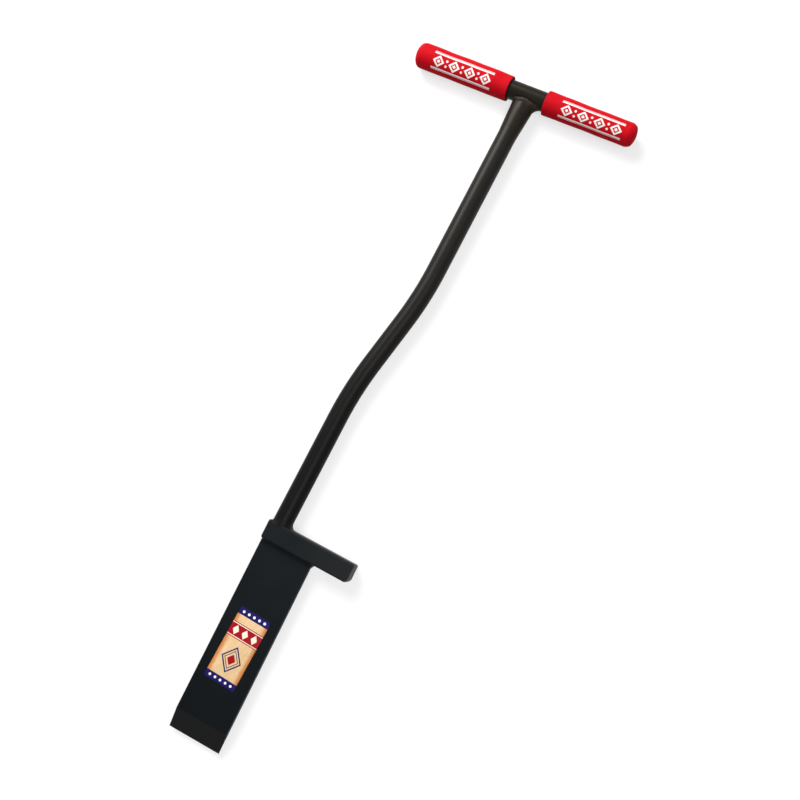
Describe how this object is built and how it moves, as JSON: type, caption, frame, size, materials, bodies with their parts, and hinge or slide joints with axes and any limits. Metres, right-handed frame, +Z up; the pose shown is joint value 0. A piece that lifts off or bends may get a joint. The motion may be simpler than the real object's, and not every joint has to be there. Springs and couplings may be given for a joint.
{
  "type": "tree planting bar",
  "caption": "Hand planting bar: chisel-edged steel blade, foot step on one side, bent tube shaft and T handle with rounded sleeve grips.",
  "frame": {"origin": "middle of the footprint of the tool lying on its back, on the floor", "axes": "+Y from the cutting edge to the T handle, +X to the side of the foot step, +Z up out of the blade's front"},
  "size_m": [0.332, 0.9904, 0.035],
  "materials": {
    "blade_paint": "satin black enamel on flat bar, slightly blue",
    "tube_paint": "satin black enamel on round tube, slightly brown in the light",
    "weld_paint": "thin black enamel over weld metal",
    "grip_foam": "soft red closed-cell foam sleeve with a skin",
    "label_film": null
  },
  "bodies": {
    "root": {"blade": "blade_paint", "foot_step": "blade_paint", "shaft": "tube_paint", "crossbar": "tube_paint", "left_grip": "grip_foam", "right_grip": "grip_foam", "blade_weld": "weld_paint", "foot_weld": "weld_paint", "handle_weld": "weld_paint", "blade_label": "label_film"}
  },
  "joints": []
}
